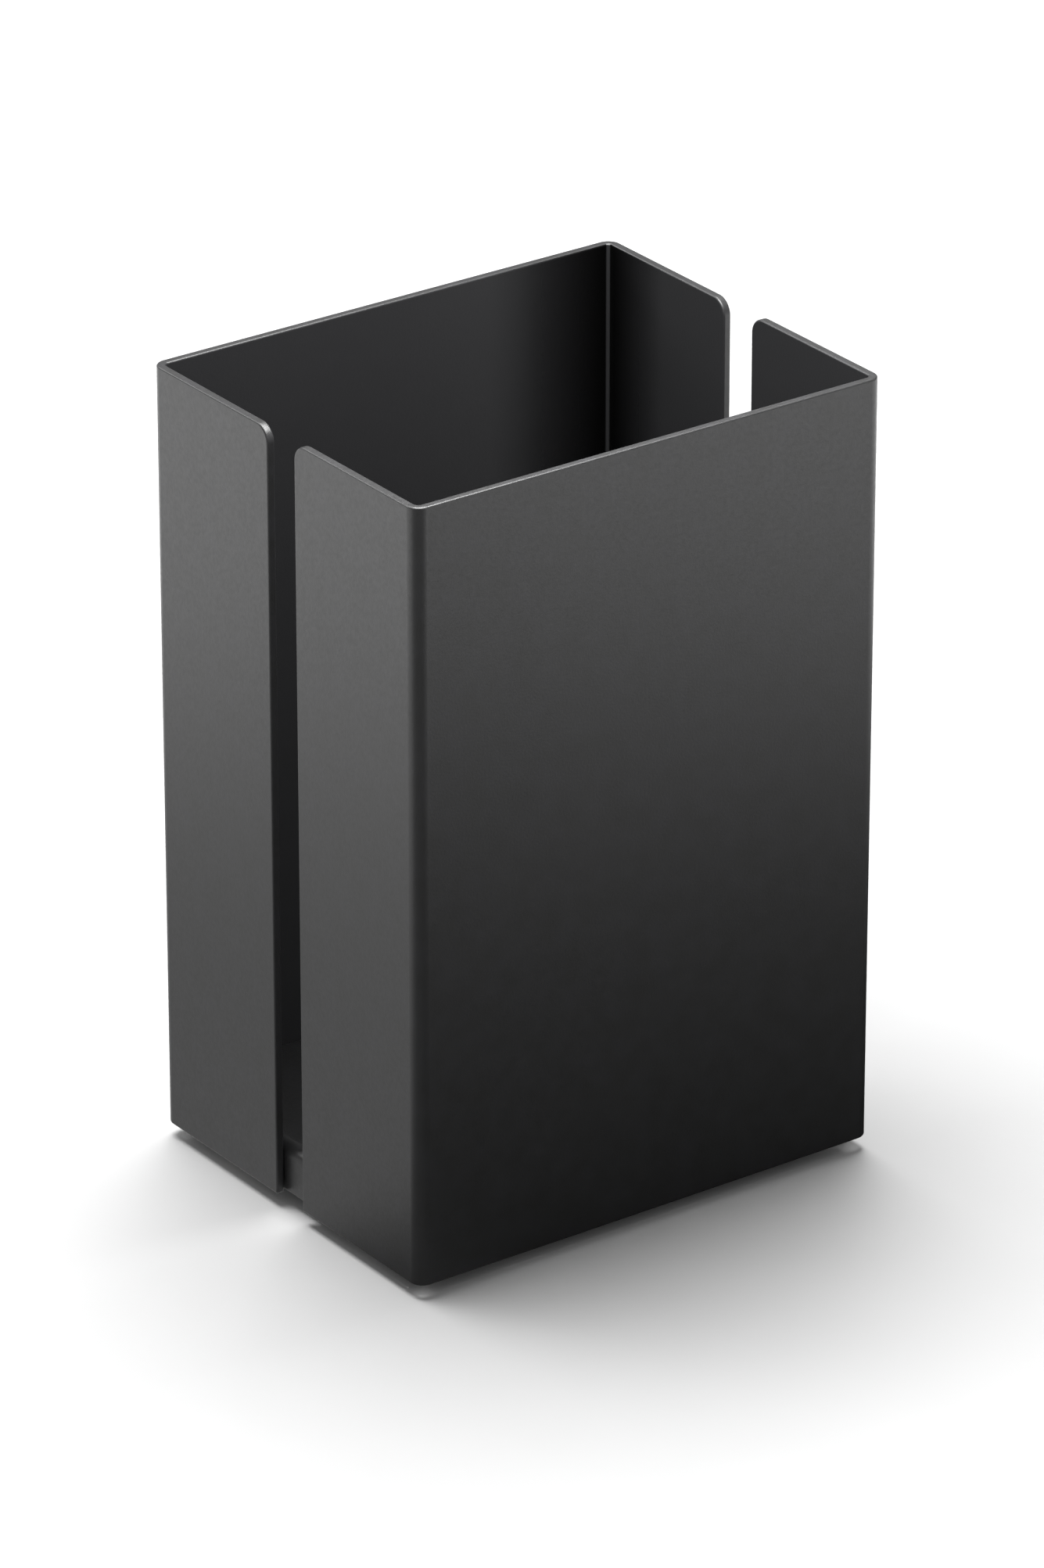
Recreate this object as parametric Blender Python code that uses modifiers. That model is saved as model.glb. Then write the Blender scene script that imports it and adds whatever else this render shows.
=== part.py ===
"""Countertop napkin dispenser: an open-topped box of bent and folded sheet steel.

Two identical U-shaped shells stand back to back with a slot between them on both short sides.
They are bolted to a folded base tray that closes the well, and the tray stands on rubber feet.
The origin is on the floor, under the middle of the box; +Z is up and -Y is the front.
"""
import math

import bmesh
import bpy
from mathutils import Matrix, Vector

# Driving dimensions, in metres.
WIDTH = 0.125                 # outside of the box along X
DEPTH = 0.100                 # outside of the box along Y
SHELL_HEIGHT = 0.186
SHEET = 0.002                 # thickness of all sheet metal
BEND_OUTER = 0.0032           # outer radius of every bend
SLOT_WIDTH = 0.010            # gap between the two shells on each short side
SLOT_CORNER = 0.004           # rounding of the shells' top corners at the slots
SHELL_LIFT = 0.0035           # floor to the shells' lower edge
TRAY_HEIGHT = 0.0115
TRAY_LIFT = 0.004             # floor to the tray's lower edge
TRAY_RELIEF = 0.0025          # notch that keeps neighbouring flanges apart at the tray's corners
GAP = 0.0003                  # clearance kept between touching pieces
EDGE_ROUND = 0.00025          # coated edge of cut sheet

# Shell fixings: M3 weld studs inside the shells, with washers and nuts inside the tray's skirt.
STUD_RADIUS = 0.0015
STUD_LENGTH = 0.0065
STUD_HEIGHT = 0.0081          # floor to the studs' axes
STUD_WALL_OFFSET = 0.035      # studs on the long walls, from the middle
STUD_SIDE_OFFSET = 0.027      # studs on the short sides, from the middle
STUD_CHAMFER = 0.0004
NUT_ACROSS_FLATS = 0.0055
NUT_THICKNESS = 0.0024
STUD_WASHER_RADIUS = 0.0035
STUD_WASHER_THICKNESS = 0.0005

# Feet: rubber bumpers held by M4 screws in clinch nuts.
FOOT_X = 0.046
FOOT_Y = 0.033
FOOT_TOP_RADIUS = 0.008
FOOT_BASE_RADIUS = 0.0072
FOOT_ROUND = 0.0006
SCREW_RADIUS = 0.002
SCREW_HEAD_RADIUS = 0.004
SCREW_HEAD_HEIGHT = 0.0027
SCREW_HEAD_LIFT = 0.0025      # floor to the screw's head
SCREW_LENGTH = 0.010
RECESS_WIDTH = 0.0009         # one bar of the screw's cross recess
RECESS_SPAN = 0.0046
RECESS_DEPTH = 0.0015
WASHER_RADIUS = 0.0045
WASHER_THICKNESS = 0.0008
CLINCH_BODY_RADIUS = 0.0041
CLINCH_BODY_HEIGHT = 0.0018
CLINCH_SHANK_RADIUS = 0.0027
CLINCH_SHANK_HEIGHT = 0.002

# Faceting of arcs and turned pieces.
BEND_SEGMENTS = 8
ARC_SEGMENTS = 8
TURN_STEPS = 24
SMALL_TURN_STEPS = 16
MERGE = 0.00001

# Worked out from the dimensions above.
BEND_MIDDLE = BEND_OUTER - SHEET / 2
SHELL_INNER_X = WIDTH / 2 - SHEET
SHELL_INNER_Y = DEPTH / 2 - SHEET
TRAY_OUTER_X = SHELL_INNER_X - GAP
TRAY_OUTER_Y = SHELL_INNER_Y - GAP
TRAY_TOP = TRAY_LIFT + TRAY_HEIGHT
TRAY_UNDERSIDE = TRAY_TOP - SHEET
FOOT_TOP = TRAY_UNDERSIDE - GAP
WASHER_BOTTOM = SCREW_HEAD_LIFT + SCREW_HEAD_HEIGHT + GAP
FOOT_SEAT = WASHER_BOTTOM + WASHER_THICKNESS + GAP
CLINCH_BOTTOM = FOOT_TOP - CLINCH_BODY_HEIGHT

COAT = ("black_powder_coat", (0.021, 0.021, 0.022, 1.0), 0.45, 0.0)
TRAY_COAT = ("black_tray_coat", (0.021, 0.021, 0.022, 1.0), 0.45, 0.0)
RUBBER = ("black_rubber", (0.02, 0.02, 0.02, 1.0), 0.8, 0.0)
ZINC = ("zinc_plated_steel", (0.62, 0.63, 0.65, 1.0), 0.32, 1.0)
COPPERED = ("coppered_steel", (0.55, 0.36, 0.26, 1.0), 0.35, 1.0)
STAINLESS = ("stainless_steel", (0.58, 0.58, 0.57, 1.0), 0.28, 1.0)


def clear_scene():
    for item in list(bpy.data.objects):
        bpy.data.objects.remove(item, do_unlink=True)


def new_collection(name):
    collection = bpy.data.collections.new(name)
    bpy.context.scene.collection.children.link(collection)
    return collection


clear_scene()
PARTS = new_collection("napkin_dispenser")
CUTTERS = new_collection("cutters")
TRAY_CUTTERS = bpy.data.collections.new("tray_cutters")
CUTTERS.children.link(TRAY_CUTTERS)


def material(finish):
    """Return the Principled material of a finish, made the first time it is asked for."""
    name, colour, roughness, metallic = finish
    found = bpy.data.materials.get(name)
    if found:
        return found
    made = bpy.data.materials.new(name)
    made.use_nodes = True
    shader = made.node_tree.nodes["Principled BSDF"]
    shader.inputs["Base Color"].default_value = colour
    shader.inputs["Roughness"].default_value = roughness
    shader.inputs["Metallic"].default_value = metallic
    made.diffuse_color = colour
    return made


def add_part(name, mesh, finish, location=(0, 0, 0), rotation=(0, 0, 0)):
    """Place a named sub-part made from a mesh, parented to the dispenser's empty."""
    part = bpy.data.objects.new(name, mesh)
    if not mesh.materials:
        mesh.materials.append(material(finish))
    part.location = location
    part.rotation_euler = rotation
    part.parent = ROOT
    PARTS.objects.link(part)
    return part


def add_cutter(name, mesh, collection, location=(0, 0, 0), rotation=(0, 0, 0)):
    cutter = bpy.data.objects.new(name, mesh)
    cutter.location = location
    cutter.rotation_euler = rotation
    cutter.hide_render = True
    cutter.display_type = "WIRE"
    collection.objects.link(cutter)
    return cutter


def mesh_from_bmesh(name, bm):
    mesh = bpy.data.meshes.new(name)
    bm.to_mesh(mesh)
    bm.free()
    return mesh


def bevel_modifier(part):
    """Round the cut edges of a sheet part, leaving its smooth bends alone."""
    bevel = part.modifiers.new("coated_edges", "BEVEL")
    bevel.width = EDGE_ROUND
    bevel.segments = 2
    bevel.limit_method = "ANGLE"
    bevel.angle_limit = math.radians(50)


def solidify_modifier(part):
    """Give a part drawn as its sheet's middle surface the sheet's thickness."""
    solidify = part.modifiers.new("sheet_thickness", "SOLIDIFY")
    solidify.thickness = SHEET
    solidify.offset = 0.0
    solidify.use_even_offset = True


def bend_edges(bm, edges):
    bmesh.ops.bevel(bm, geom=edges, offset=BEND_MIDDLE, offset_type="OFFSET",
                    segments=BEND_SEGMENTS, profile=0.5, affect="EDGES")


def shell_surface():
    """Middle surface of a shell: a long wall with a flange bent back at each end."""
    half_x = (WIDTH - SHEET) / 2
    half_y = (DEPTH - SHEET) / 2
    plan = [(-half_x, -SLOT_WIDTH / 2), (-half_x, -half_y),
            (half_x, -half_y), (half_x, -SLOT_WIDTH / 2)]
    bm = bmesh.new()
    posts = []
    for x, y in plan:
        foot = bm.verts.new((x, y, SHELL_LIFT))
        head = bm.verts.new((x, y, SHELL_LIFT + SHELL_HEIGHT))
        posts.append(bm.edges.new((foot, head)))
    bmesh.ops.bridge_loops(bm, edges=posts[0:2])
    bmesh.ops.bridge_loops(bm, edges=posts[1:3])
    bmesh.ops.bridge_loops(bm, edges=posts[2:4])
    bend_edges(bm, posts[1:3])
    top = SHELL_LIFT + SHELL_HEIGHT
    slot_heads = [v for v in bm.verts
                  if abs(v.co.y + SLOT_WIDTH / 2) < MERGE and abs(v.co.z - top) < MERGE]
    bmesh.ops.bevel(bm, geom=slot_heads, offset=SLOT_CORNER, offset_type="OFFSET",
                    segments=ARC_SEGMENTS, profile=0.5, affect="VERTICES")
    bmesh.ops.recalc_face_normals(bm, faces=bm.faces)
    return mesh_from_bmesh("shell_surface", bm)


def build_shells():
    surface = shell_surface()
    for name, turn in (("front_shell", 0.0), ("back_shell", math.pi)):
        shell = add_part(name, surface, COAT, rotation=(0, 0, turn))
        solidify_modifier(shell)
        bevel_modifier(shell)


def tray_surface():
    """Middle surface of the tray: a plate with a flange folded down along each side."""
    half_x = TRAY_OUTER_X - SHEET / 2
    half_y = TRAY_OUTER_Y - SHEET / 2
    top = TRAY_TOP - SHEET / 2
    bm = bmesh.new()
    bmesh.ops.create_grid(bm, x_segments=3, y_segments=3, size=1.0)
    for vert in bm.verts:
        x_reach = half_x if abs(vert.co.x) > 0.5 else half_x - TRAY_RELIEF
        y_reach = half_y if abs(vert.co.y) > 0.5 else half_y - TRAY_RELIEF
        vert.co = Vector((math.copysign(x_reach, vert.co.x),
                          math.copysign(y_reach, vert.co.y), top))
    corners = [v for v in bm.verts
               if abs(v.co.x) > half_x - MERGE and abs(v.co.y) > half_y - MERGE]
    bmesh.ops.delete(bm, geom=corners, context="VERTS")
    sides = [e for e in bm.edges if e.is_boundary and
             (all(abs(v.co.x) > half_x - MERGE for v in e.verts) or
              all(abs(v.co.y) > half_y - MERGE for v in e.verts))]
    for side in sides:
        skirt = bmesh.ops.extrude_edge_only(bm, edges=[side])["geom"]
        lowered = [v for v in skirt if isinstance(v, bmesh.types.BMVert)]
        bmesh.ops.translate(bm, verts=lowered, vec=(0, 0, TRAY_LIFT - top))
    bend_edges(bm, sides)
    bmesh.ops.recalc_face_normals(bm, faces=bm.faces)
    return mesh_from_bmesh("tray_surface", bm)


def outline_mesh(name, loops, thickness):
    """Solid with flat faces at z = 0 and z = thickness, from closed outlines in the XY plane."""
    curve = bpy.data.curves.new(name, "CURVE")
    curve.dimensions = "2D"
    curve.fill_mode = "BOTH"
    curve.extrude = thickness / 2
    for loop in loops:
        spline = curve.splines.new("POLY")
        spline.points.add(len(loop) - 1)
        for point, (x, y) in zip(spline.points, loop):
            point.co = (x, y, 0.0, 1.0)
        spline.use_cyclic_u = True
    holder = bpy.data.objects.new(name, curve)
    bpy.context.scene.collection.objects.link(holder)
    graph = bpy.context.evaluated_depsgraph_get()
    mesh = bpy.data.meshes.new_from_object(holder.evaluated_get(graph))
    bpy.data.objects.remove(holder, do_unlink=True)
    bm = bmesh.new()
    bm.from_mesh(mesh)
    bmesh.ops.remove_doubles(bm, verts=bm.verts, dist=MERGE)
    bmesh.ops.translate(bm, verts=bm.verts, vec=(0, 0, thickness / 2))
    bmesh.ops.recalc_face_normals(bm, faces=bm.faces)
    bm.to_mesh(mesh)
    bm.free()
    return mesh


def arc(radius, start, end, steps, centre=(0.0, 0.0)):
    """Points of an arc between two angles in degrees, both ends included."""
    angles = [math.radians(start + (end - start) * i / steps) for i in range(steps + 1)]
    return [(centre[0] + radius * math.cos(a), centre[1] + radius * math.sin(a)) for a in angles]


def circle(radius, steps):
    return arc(radius, 0, 360, steps)[:-1]


def turned_mesh(name, profile, steps, closed):
    """Solid of revolution about Z; the profile runs down its outer side, top to bottom."""
    mesh = bpy.data.meshes.new(name + "_profile")
    edges = [(i, i + 1) for i in range(len(profile) - 1)]
    if closed:
        edges.append((len(profile) - 1, 0))
    mesh.from_pydata([(r, 0.0, z) for r, z in profile], edges, [])
    holder = bpy.data.objects.new(name, mesh)
    bpy.context.scene.collection.objects.link(holder)
    screw = holder.modifiers.new("turn", "SCREW")
    screw.axis = "Z"
    screw.steps = steps
    screw.render_steps = steps
    screw.use_merge_vertices = True
    screw.merge_threshold = MERGE
    graph = bpy.context.evaluated_depsgraph_get()
    turned = bpy.data.meshes.new_from_object(holder.evaluated_get(graph))
    turned.name = name
    bpy.data.objects.remove(holder, do_unlink=True)
    turned.shade_smooth()
    turned.set_sharp_from_angle(angle=math.radians(35))
    return turned


def fixing_places():
    """Name, base point and turn about Z of each shell fixing; its axis points into the box."""
    places = []
    for side, along in (("left", -STUD_WALL_OFFSET), ("right", STUD_WALL_OFFSET)):
        places.append(("front_wall_" + side, (along, -SHELL_INNER_Y), 0.0))
        places.append(("back_wall_" + side, (along, SHELL_INNER_Y), math.pi))
    for side, along in (("front", -STUD_SIDE_OFFSET), ("back", STUD_SIDE_OFFSET)):
        places.append(("left_side_" + side, (-SHELL_INNER_X, along), -math.pi / 2))
        places.append(("right_side_" + side, (SHELL_INNER_X, along), math.pi / 2))
    return places


def fixing_point(base, turn, inward):
    """Point on a fixing's axis, a distance inward from the shell's inner face."""
    step = Matrix.Rotation(turn, 3, "Z") @ Vector((0.0, inward, 0.0))
    return Vector((base[0], base[1], STUD_HEIGHT)) + step


def foot_places():
    return [(depth + "_" + side, (x, y))
            for depth, y in (("front", -FOOT_Y), ("back", FOOT_Y))
            for side, x in (("left", -FOOT_X), ("right", FOOT_X))]


def notch_cutter_mesh():
    """Slot with a round end that opens the skirt's lower edge round a stud."""
    radius = STUD_RADIUS + GAP
    reach = STUD_HEIGHT - TRAY_LIFT + 2 * radius
    outline = arc(radius, 0, 180, ARC_SEGMENTS) + [(-radius, -reach), (radius, -reach)]
    return outline_mesh("notch_cutter", [outline], 3 * SHEET)


def build_tray():
    tray = add_part("base_tray", tray_surface(), TRAY_COAT)
    solidify_modifier(tray)
    bevel_modifier(tray)
    notch = notch_cutter_mesh()
    for name, base, turn in fixing_places():
        # Local Y stays up, so the outline's open end points down and its face points inward.
        add_cutter("notch_" + name, notch, TRAY_CUTTERS, rotation=(math.pi / 2, 0, turn),
                   location=fixing_point(base, turn, 2 * SHEET))
    drill = outline_mesh("clinch_hole", [circle(CLINCH_SHANK_RADIUS + GAP, SMALL_TURN_STEPS)],
                         3 * SHEET)
    for name, (x, y) in foot_places():
        add_cutter("clinch_hole_" + name, drill, TRAY_CUTTERS,
                   location=(x, y, TRAY_TOP - 2 * SHEET))
    cut = tray.modifiers.new("fixing_holes", "BOOLEAN")
    cut.operand_type = "COLLECTION"
    cut.collection = TRAY_CUTTERS
    cut.operation = "DIFFERENCE"
    cut.solver = "EXACT"


def washer_mesh(name, bore, radius, thickness, steps):
    return turned_mesh(name, [(radius, thickness), (radius, 0.0), (bore, 0.0), (bore, thickness)],
                       steps, closed=True)


def build_shell_fixings():
    """A weld stud on the shell, and the washer and nut that clamp the tray's skirt to it."""
    stud = turned_mesh("weld_stud", [
        (0.0, STUD_LENGTH), (STUD_RADIUS - STUD_CHAMFER, STUD_LENGTH),
        (STUD_RADIUS, STUD_LENGTH - STUD_CHAMFER), (STUD_RADIUS, 0.0), (0.0, 0.0),
    ], SMALL_TURN_STEPS, closed=False)
    corner_radius = NUT_ACROSS_FLATS / math.sqrt(3)
    nut = outline_mesh("hex_nut", [circle(corner_radius, 6),
                                   circle(STUD_RADIUS + GAP, SMALL_TURN_STEPS)], NUT_THICKNESS)
    washer = washer_mesh("stud_washer", STUD_RADIUS + GAP, STUD_WASHER_RADIUS,
                         STUD_WASHER_THICKNESS, SMALL_TURN_STEPS)
    skirt_inside = SHEET + 2 * GAP
    nut_inward = skirt_inside + STUD_WASHER_THICKNESS + GAP
    for name, base, turn in fixing_places():
        facing = (-math.pi / 2, 0, turn)
        add_part("stud_" + name, stud, COPPERED, fixing_point(base, turn, GAP), facing)
        add_part("stud_washer_" + name, washer, ZINC,
                 fixing_point(base, turn, skirt_inside), facing)
        add_part("stud_nut_" + name, nut, ZINC, fixing_point(base, turn, nut_inward), facing)


def foot_mesh():
    """Tapered bumper with a counterbore for the screw's head and a pocket for the clinch nut."""
    bore = SCREW_RADIUS + GAP
    counterbore = WASHER_RADIUS + GAP
    pocket = CLINCH_BODY_RADIUS + GAP
    rounded = arc(FOOT_ROUND, 0, -90, 3, (FOOT_BASE_RADIUS - FOOT_ROUND, FOOT_ROUND))
    profile = [(FOOT_TOP_RADIUS, FOOT_TOP)] + rounded + [
        (counterbore, 0.0), (counterbore, FOOT_SEAT), (bore, FOOT_SEAT),
        (bore, CLINCH_BOTTOM - GAP), (pocket, CLINCH_BOTTOM - GAP), (pocket, FOOT_TOP)]
    return turned_mesh("rubber_foot", profile, TURN_STEPS, closed=True)


def clinch_nut_mesh():
    bore = SCREW_RADIUS + GAP
    top = CLINCH_BODY_HEIGHT + CLINCH_SHANK_HEIGHT
    return turned_mesh("clinch_nut", [
        (CLINCH_SHANK_RADIUS, top), (CLINCH_SHANK_RADIUS, CLINCH_BODY_HEIGHT),
        (CLINCH_BODY_RADIUS, CLINCH_BODY_HEIGHT), (CLINCH_BODY_RADIUS, 0.0),
        (bore, 0.0), (bore, top)], SMALL_TURN_STEPS, closed=True)


def screw_mesh():
    """Pan-head screw standing on its head, its shank pointing up."""
    tip = SCREW_HEAD_HEIGHT + SCREW_LENGTH
    crown = SCREW_HEAD_HEIGHT / 2
    dome = arc(crown, 0, -90, 4, (SCREW_HEAD_RADIUS - crown, crown))
    return turned_mesh("pan_screw", [
        (0.0, tip), (SCREW_RADIUS - STUD_CHAMFER, tip), (SCREW_RADIUS, tip - STUD_CHAMFER),
        (SCREW_RADIUS, SCREW_HEAD_HEIGHT), (SCREW_HEAD_RADIUS, SCREW_HEAD_HEIGHT),
    ] + dome + [(0.0, 0.0)], SMALL_TURN_STEPS, closed=False)


def cross_recess_mesh():
    """Cross-shaped driver that leaves the recess in a screw's head."""
    wide = RECESS_WIDTH / 2
    reach = RECESS_SPAN / 2
    quarter = [(reach, -wide), (reach, wide), (wide, wide)]
    outline = []
    for turn in range(4):
        spin = Matrix.Rotation(math.radians(90 * turn), 2)
        outline += [tuple(spin @ Vector(point)) for point in quarter]
    return outline_mesh("cross_recess", [outline], 2 * RECESS_DEPTH)


def build_feet():
    foot, clinch, screw = foot_mesh(), clinch_nut_mesh(), screw_mesh()
    washer = washer_mesh("foot_washer", SCREW_RADIUS + GAP, WASHER_RADIUS, WASHER_THICKNESS,
                         TURN_STEPS)
    driver = cross_recess_mesh()
    for name, (x, y) in foot_places():
        add_part("foot_" + name, foot, RUBBER, (x, y, 0.0))
        add_part("foot_washer_" + name, washer, STAINLESS, (x, y, WASHER_BOTTOM))
        add_part("clinch_nut_" + name, clinch, ZINC, (x, y, CLINCH_BOTTOM))
        bolt = add_part("foot_screw_" + name, screw, STAINLESS, (x, y, SCREW_HEAD_LIFT))
        recess = add_cutter("recess_" + name, driver, CUTTERS,
                            (x, y, SCREW_HEAD_LIFT - RECESS_DEPTH), (0, 0, math.pi / 4))
        cut = bolt.modifiers.new("cross_recess", "BOOLEAN")
        cut.object = recess
        cut.operation = "DIFFERENCE"
        cut.solver = "EXACT"


ROOT = bpy.data.objects.new("dispenser_origin", None)
PARTS.objects.link(ROOT)
build_shells()
build_tray()
build_shell_fixings()
build_feet()
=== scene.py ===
"""Looks of the countertop napkin dispenser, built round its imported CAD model.

Finer pieces stand for the CAD parts, in the same places and to the same sizes: rounder bends,
softer cut edges, threads, chamfers and knurls. Every surface has a procedural finish.
"""
import math

import bmesh
import bpy
from mathutils import Matrix, Vector


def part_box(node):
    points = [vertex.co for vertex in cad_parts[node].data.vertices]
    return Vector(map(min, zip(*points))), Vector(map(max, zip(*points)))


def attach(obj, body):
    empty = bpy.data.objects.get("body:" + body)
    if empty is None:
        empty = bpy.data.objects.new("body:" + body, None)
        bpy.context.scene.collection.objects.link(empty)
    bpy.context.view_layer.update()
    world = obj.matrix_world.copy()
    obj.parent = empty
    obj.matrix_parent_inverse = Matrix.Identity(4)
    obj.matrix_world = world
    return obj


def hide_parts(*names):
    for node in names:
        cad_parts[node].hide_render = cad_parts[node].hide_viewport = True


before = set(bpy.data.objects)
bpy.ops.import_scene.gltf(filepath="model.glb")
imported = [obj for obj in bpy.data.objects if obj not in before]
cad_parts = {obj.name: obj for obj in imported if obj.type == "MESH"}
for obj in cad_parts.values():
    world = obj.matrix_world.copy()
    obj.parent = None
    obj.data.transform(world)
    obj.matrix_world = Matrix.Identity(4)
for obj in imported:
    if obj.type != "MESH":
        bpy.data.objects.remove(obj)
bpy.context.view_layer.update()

# Sheet metal, in metres.
SHEET = 0.002
BEND_OUTER = 0.0032
SLOT_CORNER = 0.004
TRAY_RELIEF = 0.0025
SHELL_EDGE_ROUND = 0.00045
TRAY_EDGE_ROUND = 0.0003
BEND_SEGMENTS = 18
CORNER_SEGMENTS = 14
EDGE_SEGMENTS = 4
MERGE = 0.00001               # points nearer to a limit than this lie on it
CREASE_DEGREES = 50           # edges sharper than this are rounded, and shade as edges

# Fasteners.
STUD_RADIUS = 0.0015
STUD_PITCH = 0.0005
NUT_BORE = 0.0017
HEX_CORNER_SHARE = 1.155      # a hexagon's corners lie this many times as far out as its flats
SCREW_RADIUS = 0.002
SCREW_PITCH = 0.0007
SCREW_HEAD_RADIUS = 0.004
SCREW_HEAD_HEIGHT = 0.0027
SCREW_CORE_SHARE = 0.86       # radius of the neck under the head, as a share of the thread's
CLINCH_BODY_HEIGHT = 0.0018
CLINCH_SHANK_RADIUS = 0.0027
CLINCH_KNURLS = 30
CLINCH_KNURL_DEPTH = 0.00025
THREAD_DEPTH = 0.6            # share of the pitch
THREAD_ROWS = 6               # rings of points for each turn of a thread
ROUND_STEPS = 48
HOLE_CLEARANCE = 0.0003
WASHER_CLEARANCE = 0.0002

# Camera, from the viewing angle of the reference. Angles in degrees, lens in millimetres.
VIEW_AZIMUTH = -35.852
VIEW_ELEVATION = 25.221
VIEW_DISTANCE = 2.0
VIEW_AIM = Vector((-0.00025, -0.00239, 0.09058))
VIEW_LENS = 206.25
VIEW_SENSOR = 36.0
VIEW_CLIP = (0.05, 60.0)

# Powder coat: linear colours, features to the metre, relief in metres, and roughness.
COAT_BLACK = (0.019, 0.019, 0.020)
COAT_DARK_CLOUD = (0.0165, 0.0165, 0.0165)
COAT_CLOUDS = 160
COAT_GLOSS_PATCHES = 900
COAT_PEEL = 420
COAT_PEEL_DEPTH = 0.000006
COAT_GRAIN = 1800
COAT_GRAIN_DEPTH = 0.00002
COAT_ROUGHNESS = (0.35, 0.42)

# Painted shade: on inner faces the coat is darker and smoother beside one inner corner of each
# shell, to match the reference. The shade fades over these distances along the wall and the flange.
SHADE_ALONG_WALL = 0.033
SHADE_ALONG_FLANGE = 0.020
SHADE_FADE = 1.35              # power of the distance by which the painted shade fades out
UNSHADED_BEND = (0.02, 0.032)     # no painted shade in the bend; the shade starts between these shares of the distances
# the coat's colour at that corner, which stands for painted shade
PAINTED_SHADE_COLOUR = (0.001, 0.001, 0.001)
INNER_ROUGHNESS = (0.16, 0.40)  # beside the corner with the painted shade, and away from it
INNER_CLOUD_LOW = 0.9         # colour share where the clouds are thinnest, before the painted shade

# The card that the coat reflects: distance from its middle in metres, and its glow there, left
# and right of the reference view's azimuth. Both tables are listed here. The card is weaker in
# the sector towards that azimuth. It is fixed in the scene and doesn't follow the camera.
LEFT_GLOW = ((0.0, 0.72), (0.10, 0.72), (0.20, 0.72), (0.27, 0.92), (0.35, 1.48), (0.43, 1.9),
             (0.60, 2.1), (1.0, 2.1))
RIGHT_GLOW = ((0.0, 0.0), (0.15, 0.0), (0.20, 0.01), (0.27, 0.12), (0.35, 0.75), (0.41, 1.8),
              (0.60, 2.4), (1.0, 2.4))
GLOW_SCALE = 3.0              # the curves hold the tables divided by this
DARK_SIDE_AZIMUTH = VIEW_AZIMUTH
DARK_SIDE_GLOW = 0.2          # share of the glow left in that sector
DARK_SIDE_FADE = (0.5, 0.9)   # cosines of the angle from the azimuth between which it fades
SIDES_FADE = (-0.3, 0.3)      # the same for the change from the left table to the right one
CARD_HEIGHT = -0.002          # just under the floor

# Floor and surroundings.
STAGE_REACH = 8.0
FLOOR_GLOW_SPAN = (0.3, 0.9)  # distances from the box between which the floor's own light grows
FLOOR_GLOW = 0.8
WORLD_STRENGTH = 0.30

# Lamps: the two softboxes face a point at this height over the middle of the box.
LAMP_AIM_HEIGHT = 0.1
WELL_LIGHT_PLACE = (0.0, -0.05, 0.40)
WELL_LIGHT_SIZE = 0.18
WELL_LIGHT_WATTS = 2.4

# Pieces that the rim light and the well light both light.
SHELL_PIECES = ("front_shell_look", "back_shell_look")


# ---------------------------------------------------------------- finishes

def new_finish(name, metallic):
    finish = bpy.data.materials.new(name)
    finish.use_nodes = True
    finish.node_tree.nodes["Principled BSDF"].inputs["Metallic"].default_value = metallic
    return finish


def object_place(tree):
    """Position in the piece's own coordinates."""
    return tree.nodes.new("ShaderNodeTexCoord").outputs["Object"]


def vector_math(tree, operation, vector, other=None):
    """Output of a vector sum, product, length or the like, with a fixed second vector."""
    node = tree.nodes.new("ShaderNodeVectorMath")
    node.operation = operation
    tree.links.new(vector, node.inputs[0])
    if other is not None:
        node.inputs[1].default_value = other
    return node.outputs["Value" if operation in ("LENGTH", "DOT_PRODUCT") else "Vector"]


def number_math(tree, operation, first, second, clamp=False):
    """Output of a sum on a socket and either another socket or a fixed number."""
    node = tree.nodes.new("ShaderNodeMath")
    node.operation = operation
    node.use_clamp = clamp
    tree.links.new(first, node.inputs[0])
    if isinstance(second, float):
        node.inputs[1].default_value = second
    else:
        tree.links.new(second, node.inputs[1])
    return node.outputs["Value"]


def remap(tree, value, start, end, low, high, eased=False):
    """A value moved from one range to another and held at its ends."""
    node = tree.nodes.new("ShaderNodeMapRange")
    if eased:
        node.interpolation_type = "SMOOTHSTEP"
    for socket, number in (("From Min", start), ("From Max", end), ("To Min", low), ("To Max", high)):
        node.inputs[socket].default_value = number
    tree.links.new(value, node.inputs["Value"])
    return node.outputs["Result"]


def noise(tree, per_metre, detail, stretch=(1.0, 1.0, 1.0)):
    """Noise fixed to the piece, with about this many features to the metre."""
    scale = tree.nodes.new("ShaderNodeMapping")
    scale.inputs["Scale"].default_value = stretch
    texture = tree.nodes.new("ShaderNodeTexNoise")
    texture.inputs["Scale"].default_value = per_metre
    texture.inputs["Detail"].default_value = detail
    tree.links.new(object_place(tree), scale.inputs["Vector"])
    tree.links.new(scale.outputs["Vector"], texture.inputs["Vector"])
    return texture.outputs["Fac"]


def set_colour(tree, value, low, high, start=0.35, end=0.65):
    """Base colour between two linear colours, driven by a value."""
    ramp = tree.nodes.new("ShaderNodeValToRGB")
    ramp.color_ramp.elements[0].position = start
    ramp.color_ramp.elements[0].color = (*low, 1.0)
    ramp.color_ramp.elements[1].position = end
    ramp.color_ramp.elements[1].color = (*high, 1.0)
    tree.links.new(value, ramp.inputs["Fac"])
    tree.links.new(ramp.outputs["Color"], tree.nodes["Principled BSDF"].inputs["Base Color"])


def set_roughness(tree, value, low, high, start=0.35, end=0.65):
    """Roughness between two numbers, driven by a value."""
    roughness = tree.nodes["Principled BSDF"].inputs["Roughness"]
    tree.links.new(remap(tree, value, start, end, low, high), roughness)


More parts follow.
